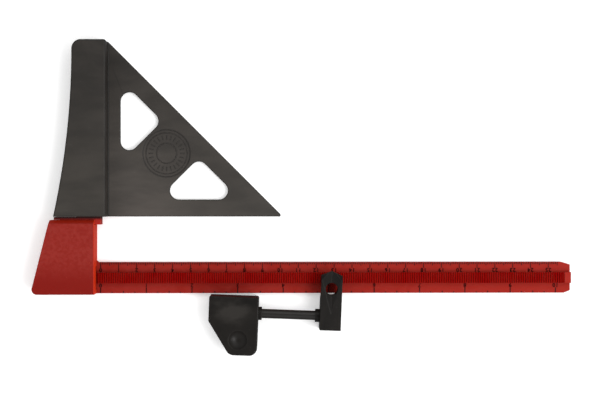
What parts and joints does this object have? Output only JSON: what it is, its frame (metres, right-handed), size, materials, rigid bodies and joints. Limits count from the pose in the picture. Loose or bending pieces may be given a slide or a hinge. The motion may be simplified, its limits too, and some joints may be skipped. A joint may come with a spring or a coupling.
{
  "type": "combination square",
  "caption": "Moulded marking square: graduated toothed rule in a stock, a grip with a 45 degree mitre plate, and a sliding gauge with a swinging pencil head.",
  "frame": {"origin": "inside corner of the stock's fence and the rule's inner edge, on the flat back", "axes": "+X along the rule, away from the stock; +Y up the grip; +Z from the flat back to the raised side of the fences"},
  "size_m": [0.2984, 0.1738, 0.016],
  "materials": {
    "red_plastic": "fine satin moulded plastic, slightly translucent red",
    "black_plastic": "matt black moulded plastic with a fine texture",
    "gauge_plastic": "satin black moulded plastic, rubbed in places",
    "steel": "bright zinc-plated steel"
  },
  "bodies": {
    "stock": {"stock": "red_plastic", "blade": "red_plastic", "tongue": "red_plastic", "blade_dowels": "steel", "blade_screws": "steel", "tongue_screws": "steel", "friction_spring": "steel", "spring_rivet": "steel"},
    "square": {"square": "black_plastic"},
    "gauge": {"gauge_carriage": "gauge_plastic", "carriage_base": "gauge_plastic", "carriage_screws": "steel", "pivot_point": "steel", "gauge_rod": "gauge_plastic", "rod_bush": "gauge_plastic", "rod_pin": "steel"},
    "gauge_head": {"gauge_head": "gauge_plastic", "head_bush": "gauge_plastic", "head_pin": "steel"}
  },
  "joints": [
    {"name": "square_slide", "type": "slide", "parent": "stock", "child": "square", "axis": [0, 1, 0], "range_m": [0, 0.055]},
    {"name": "gauge_slide", "type": "slide", "parent": "stock", "child": "gauge", "axis": [1, 0, 0], "range_m": [-0.06, 0.124]},
    {"name": "head_swing", "type": "hinge", "parent": "gauge", "child": "gauge_head", "pos_m": [0.0901, -0.0282, 0.008], "axis": [0.9993, -0.0384, 0], "range_deg": [0, 180]}
  ]
}
